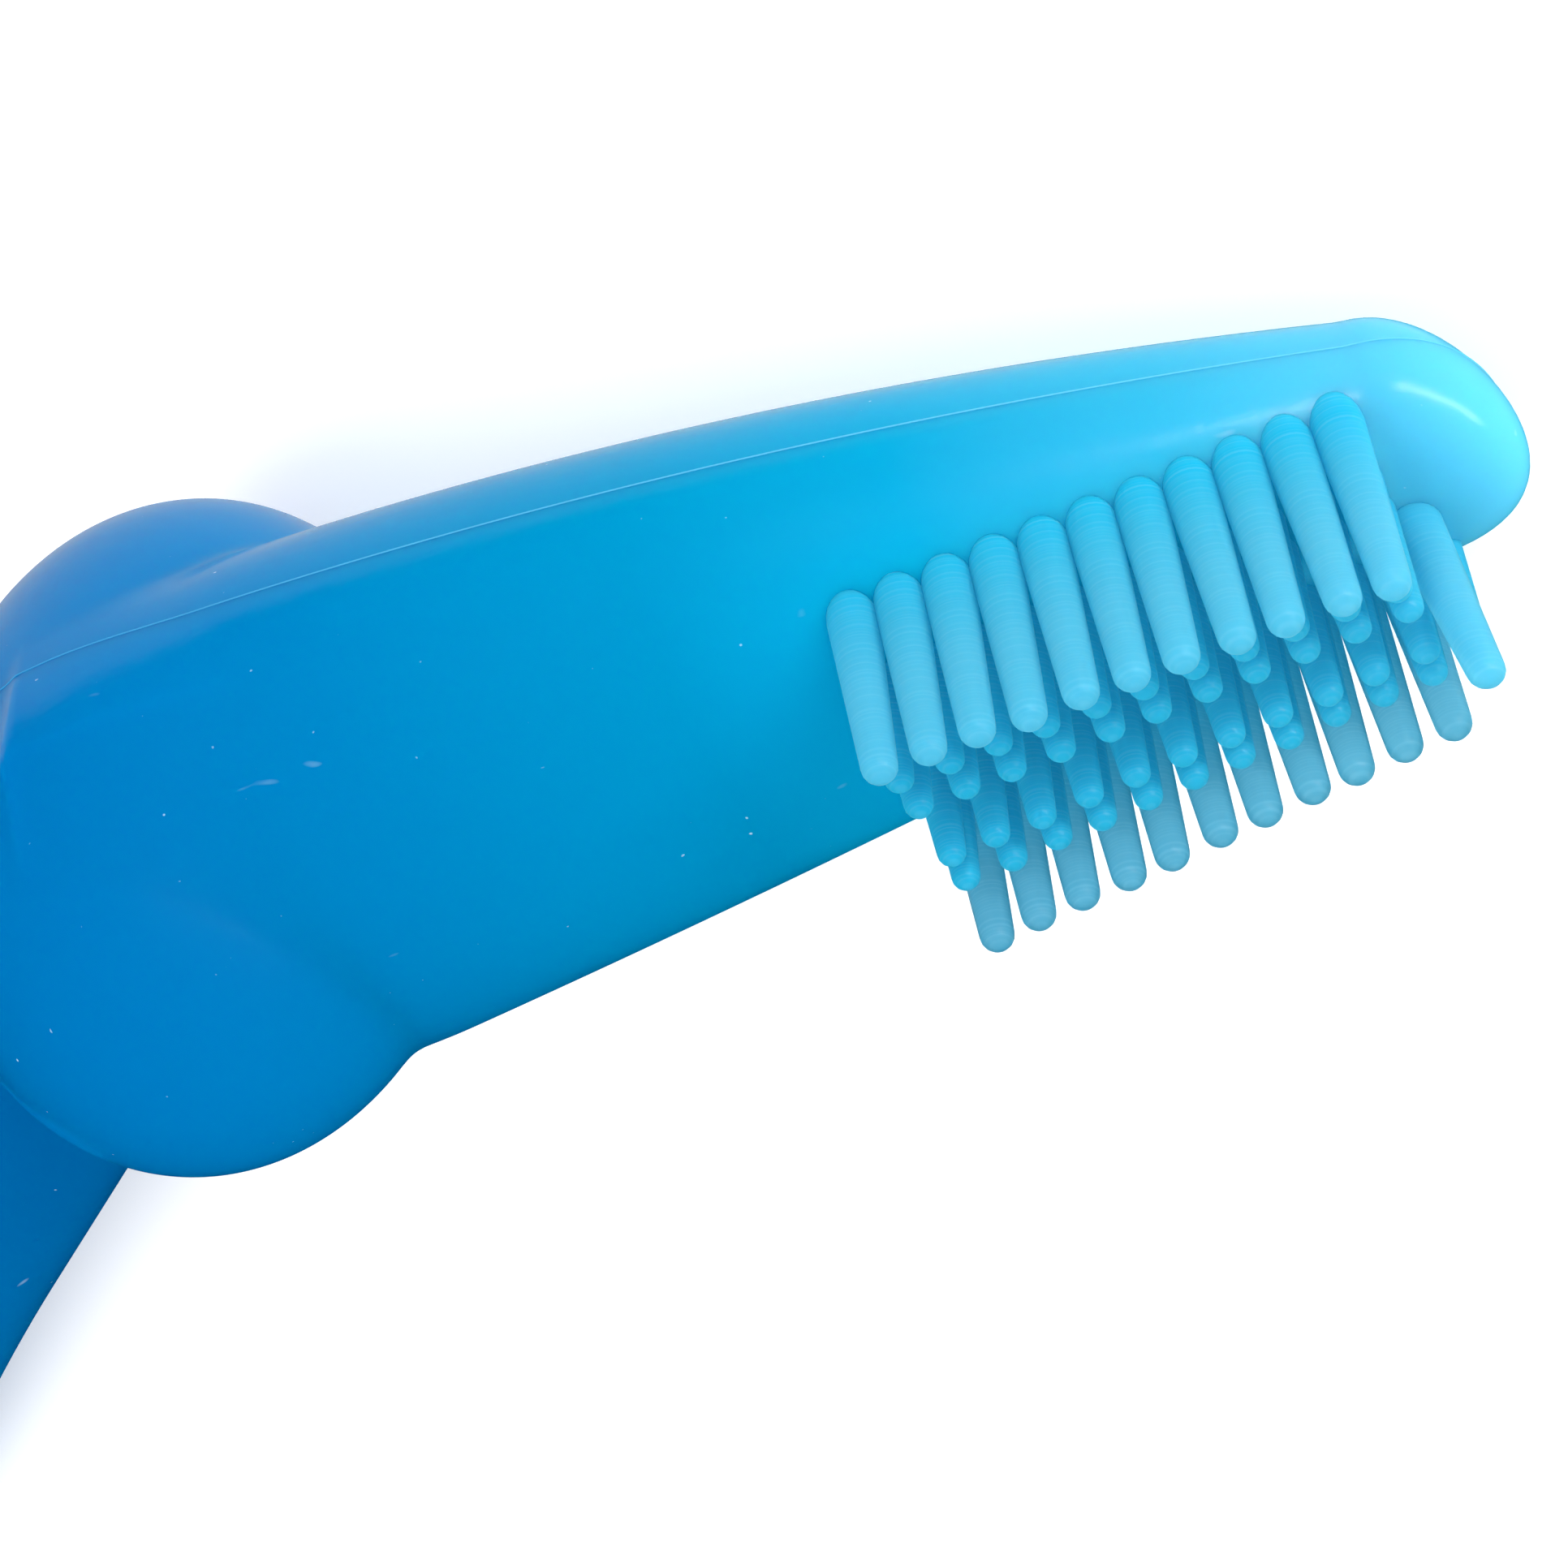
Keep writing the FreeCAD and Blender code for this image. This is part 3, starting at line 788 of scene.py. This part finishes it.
def bristle_rows():
    layout = (
        ("outer_bristles_left", 1.0, LARGE, outer_look),
        ("middle_bristles_left", MIDDLE_SHARE, SMALL, inner_look),
        ("inner_bristles_left", INNER_SHARE, SMALL, inner_look),
        ("inner_bristles_right", -INNER_SHARE, SMALL, inner_look),
        ("middle_bristles_right", -MIDDLE_SHARE, SMALL, inner_look),
        ("outer_bristles_right", -1.0, LARGE, far_look),
    )
    for node, share, radii, look in layout:
        short = INNER_SHORTFALL if radii is SMALL else 0.0
        places = []
        for column in range(COLUMNS):
            along, across, level = column_place(column, share)
            places.append((along, across, level - short))
        bristle_row("soft_" + node, node, places, radii, look)
    along, across, level = column_place(COLUMNS - END_SETBACK, 0.0)
    end = [(along, across, level + END_EXTRA)]
    bristle_row("soft_end_bristle", "end_bristle", end, LARGE, outer_look, END_SPLAY)
    along, across, level = column_place(COLUMNS - SMALL_END_SETBACK, -MIDDLE_SHARE)
    end = [(along, across, level - INNER_SHORTFALL)]
    bristle_row("soft_small_end_bristle", "small_end_bristle", end, SMALL, inner_look)


bristle_rows()

# --- handle ---------------------------------------------------------------------------------------


def beside_handle(points):
    """Handle-frame points in the brush frame."""
    turn = Matrix.Rotation(handle_turn, 3, "Z")
    return np.asarray(points) @ np.array(turn).T + np.array((0, 0, PIVOT_LEVEL))


def handle_pieces():
    points, faces = surface_net(
        handle_field, (3.0, -10.0, -10.0), (120.0, 10.0, 10.0), NET_STEP)
    piece("handle_skin", beside_handle(points), faces, handle_skin_look, "handle",
          ("handle_skin_bristle_side", "handle_skin_back"))

    line = []
    steps = 600
    for number in range(steps):
        angle = 2 * math.pi * number / steps
        line.append(edge_point(handle_outline, 62.0, angle, (57.0, 9.0), lambda x: 0.0))
    line = np.array(line)
    outside = np.hypot(line[:, 0], line[:, 1]) > HUB_RADIUS + 2.0
    first = next(n for n in range(steps) if outside[n] and not outside[n - 1])
    kept = [line[(first + n) % steps] for n in range(steps) if outside[(first + n) % steps]]
    points, faces = bead(kept, SEAM_BEAD, False)
    piece("handle_parting_line", beside_handle(points), faces, seam_look, "handle")

    lip = 0.35
    profile = []
    corners = (
        (HANG_RADIUS + lip, PADDLE_HALF - lip, 180, 90),
        (EYELET_RADIUS - lip, PADDLE_HALF - lip, 90, 0),
        (EYELET_RADIUS - lip, lip - PADDLE_HALF, 0, -90),
        (HANG_RADIUS + lip, lip - PADDLE_HALF, -90, -180),
    )
    for radius, level, begin, finish in corners:
        for step in range(5):
            turn = math.radians(begin + (finish - begin) * step / 4)
            profile.append((radius + lip * math.cos(turn), level + lip * math.sin(turn)))
    points, faces = turned_ring(profile[::-1], 64)
    points[:, 0] += HANG_DISTANCE
    piece("eyelet_ring", beside_handle(points), faces, eyelet_look, "handle",
          ("hang_eyelet",))


eyelet_look = rigid("eyelet_plastic", (0.62, 0.84, 0.93), (0.52, 0.77, 0.89), (0.22, 0.32))
handle_pieces()

# --- pivot parts ----------------------------------------------------------------------------------


def plug_piece():
    """Soft plug under the hub, its face following the hub's curve, with a moulded dimple ring."""
    def face_level(radius):
        return PIVOT_LEVEL - HUB_HALF_HEIGHT * math.sqrt(1 - (radius / HUB_RADIUS) ** 2)

    profile = [(0.0, face_level(0.0) + 0.05)]
    for radius in np.linspace(0.4, PLUG_RADIUS - 0.45, 16):
        groove = 0.28 * math.exp(-((radius - 3.1) / 0.35) ** 2)
        profile.append((radius, face_level(radius) + 0.05 + groove))
    for turn in (60, 40, 20, 0):
        bend = math.radians(turn)
        rim = PLUG_RADIUS - 0.4
        profile.append((rim + 0.4 * math.cos(bend), face_level(rim) + 0.45 - 0.4 * math.sin(bend)))
    top = PIVOT_LEVEL + PLUG_POCKET_TOP
    profile.append((PLUG_RADIUS, top - 0.3))
    profile.append((PLUG_RADIUS - 0.3, top))
    profile.append((0.0, top))
    points, faces = turned(profile, 64)
    piece("hub_plug", points, faces, plug_look, "head", ("pivot_plug",))


plug_look = silicone_skin("plug_silicone", (0, 0, 1), -25.0, -10.0,
                          ((0.0, (0.002, 0.14, 0.45)), (1.0, (0.002, 0.18, 0.52))))
plug_piece()

core_look = rigid("core_plastic", (0.55, 0.62, 0.66), (0.66, 0.71, 0.74), (0.42, 0.55))
bush_look = rigid("bush_plastic", (0.78, 0.76, 0.70), (0.70, 0.68, 0.62), (0.3, 0.42))
steel_look = rigid("pin_steel", (0.58, 0.58, 0.60), (0.68, 0.68, 0.69), (0.2, 0.32), 1.0, 1600.0)
FINISHES = {
    "head_core": core_look,
    "handle_core": core_look,
    "pivot_bush": bush_look,
    "pivot_pin": steel_look,
    "pin_clip": steel_look,
    "flat_washer": steel_look,
    "spring_washer": steel_look,
}
for node, look in FINISHES.items():
    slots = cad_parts[node].data.materials
    slots.clear()
    slots.append(look)

# --- floor, light and camera ----------------------------------------------------------------------


def floor_piece():
    """Large plain floor whose far edge is out of sight."""
    mesh = bpy.data.meshes.new("studio_floor")
    reach = 3.0
    corners = [(-reach, -reach, 0), (reach, -reach, 0), (reach, reach, 0), (-reach, reach, 0)]
    mesh.from_pydata(corners, [], [(0, 1, 2, 3)])
    floor = bpy.data.objects.new("studio_floor", mesh)
    bpy.context.scene.collection.objects.link(floor)
    look = Shader("floor_paper")
    tint = look.mixed(look.ranged(look.noise(6.0, 2.0), 0.3, 0.7, 0.0, 1.0),
                      (0.90, 0.90, 0.90), (0.92, 0.92, 0.92))
    look.link(tint, look.shader.inputs["Base Color"])
    look.set(
        Roughness=0.9,
        Specular_IOR_Level=0.1,
        Emission_Color=(1.0, 1.0, 1.0, 1.0),
        Emission_Strength=0.22,
    )
    mesh.materials.append(look.material)
    floor.visible_glossy = False


def soft_light(name, middle, aim, size, power, long_way=(1, 0, 0), mirrored=True):
    """Rectangular lamp facing a point, its long side lying along long_way."""
    lamp = bpy.data.lights.new(name, "AREA")
    lamp.shape = "RECTANGLE"
    lamp.size, lamp.size_y = size
    lamp.energy = power
    thing = bpy.data.objects.new(name, lamp)
    back = (Vector(middle) - Vector(aim)).normalized()
    wide = Vector(long_way)
    wide = (wide - wide.dot(back) * back).normalized()
    turn = Matrix((wide, back.cross(wide), back)).transposed().to_4x4()
    thing.matrix_world = Matrix.Translation(middle) @ turn
    thing.visible_glossy = mirrored
    thing.visible_camera = False
    bpy.context.scene.collection.objects.link(thing)


def studio():
    floor_piece()
    world = bpy.data.worlds.new("studio")
    world.use_nodes = True
    sky = world.node_tree.nodes["Background"].inputs
    sky["Color"].default_value = (0.97, 0.985, 1.0, 1.0)
    sky["Strength"].default_value = 0.75
    world.cycles_visibility.glossy = False
    bpy.context.scene.world = world
    soft_light("soft_top", (-0.35, -0.25, 0.9), (0.0, 0.0, 0.0), (0.9, 0.9), 7.0, mirrored=False)
    soft_light("strip", (0.572, 0.277, 0.293), (0.087, 0.02, 0.03), (0.69, 0.07), 3.7,
               (-0.40, 0.514, 0.234))
    soft_light("floor_bounce", (-0.22, 0.38, -0.36), (0.0, 0.0, 0.02), (1.1, 0.9), 1.9)


def camera():
    """Camera above the near side of the arm, looking down across the bristles."""
    position = lay_down([(68.441, 96.607, 100.367)])[0]
    right = Vector(brush_axis((0.90126, -0.41948, 0.10847)))
    down = Vector(brush_axis((-0.35283, -0.56525, 0.74565)))
    forward = Vector(brush_axis((-0.25148, -0.7103, -0.65745)))
    lens = bpy.data.cameras.new("camera")
    lens.sensor_width = 36.0
    lens.lens = 63.1
    lens.clip_start = 0.01
    thing = bpy.data.objects.new("camera", lens)
    turn = Matrix((right, -down, -forward)).transposed().to_4x4()
    thing.matrix_world = Matrix.Translation(position) @ turn
    bpy.context.scene.collection.objects.link(thing)
    bpy.context.scene.camera = thing


studio()
camera()
bpy.context.scene.view_settings.view_transform = "Standard"
